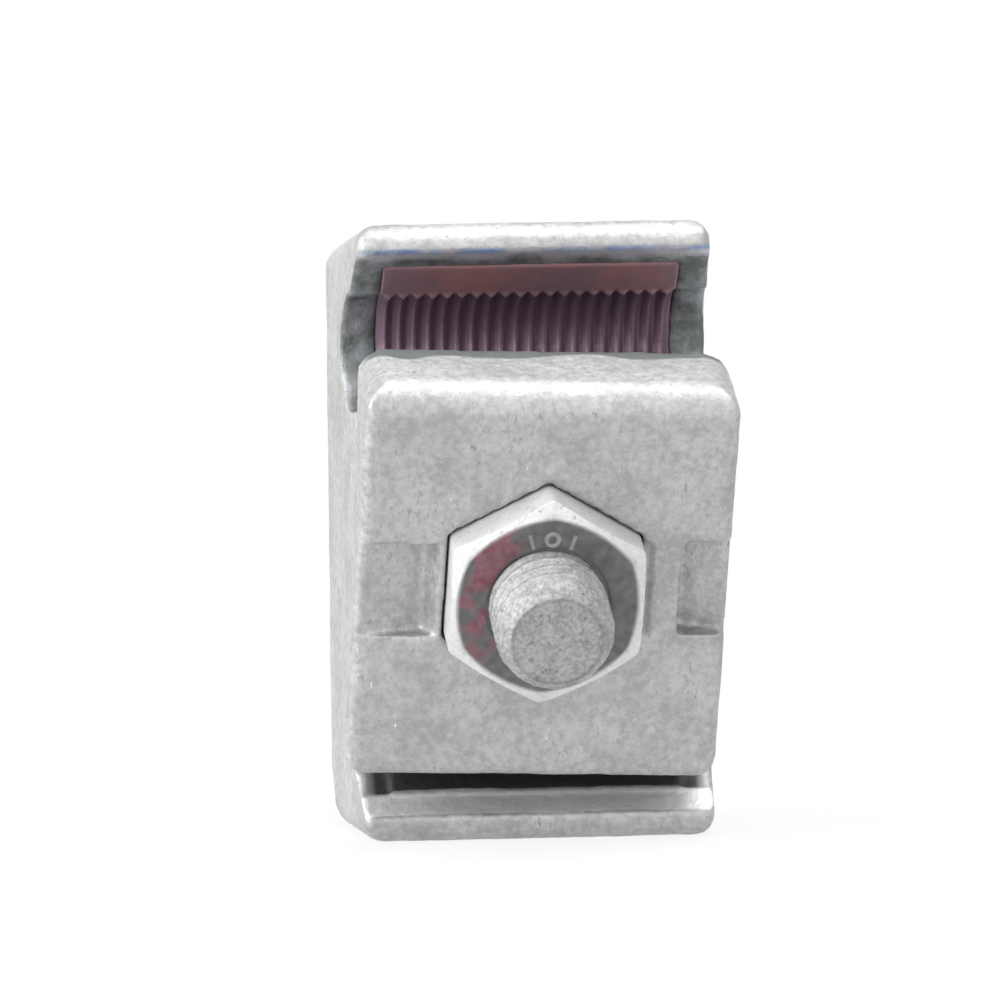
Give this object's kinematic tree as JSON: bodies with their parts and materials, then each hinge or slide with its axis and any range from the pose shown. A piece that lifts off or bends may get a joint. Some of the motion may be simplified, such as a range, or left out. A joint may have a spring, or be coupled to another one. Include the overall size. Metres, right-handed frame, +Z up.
{
  "type": "parallel groove clamp",
  "caption": "Single-bolt bimetallic parallel groove clamp: a cast rear jaw and a rocking front jaw grip two parallel conductors in ribbed grooves, one lined with copper.",
  "frame": {"origin": "centre of the rear jaw's flat underside, below the middle of its depth", "axes": "+X along the conductors, +Y toward the bolt's head, +Z up; the nut and the bolt's tip face -Y"},
  "size_m": [0.0265, 0.0459, 0.042],
  "materials": {
    "cast_aluminium": "as cast, matt and slightly mottled",
    "copper": "oxidised copper, dark red-brown",
    "galvanised_steel": "hot-dip galvanised, grainy grey"
  },
  "bodies": {
    "rear_jaw": {"rear_jaw": "cast_aluminium", "rear_copper_liner": "copper"},
    "washers": {"flat_washer": "galvanised_steel", "spring_washer": "galvanised_steel"},
    "bolt": {"hex_bolt": "galvanised_steel"},
    "front_jaw": {"front_jaw": "cast_aluminium", "hex_nut": "galvanised_steel", "front_copper_liner": "copper"}
  },
  "joints": [
    {"name": "jaw_rock", "type": "hinge", "parent": "rear_jaw", "child": "washers", "pos_m": [-0.00055, -0.0075, 0.0207], "axis": [1, 0, 0], "range_deg": [-38, 0]},
    {"name": "bolt_turn", "type": "hinge", "parent": "washers", "child": "bolt", "pos_m": [-0.00055, -0.0075, 0.0207], "axis": [0, -0.9455, -0.3256], "range_deg": [-1440, 0]},
    {"name": "jaw_travel", "type": "slide", "parent": "washers", "child": "front_jaw", "axis": [0, -0.9455, -0.3256], "range_m": [0, 0.005]}
  ],
  "couplings": [
    {"joint": "bolt_turn", "follows": "jaw_travel", "rad_per_m": -5026.5}
  ]
}
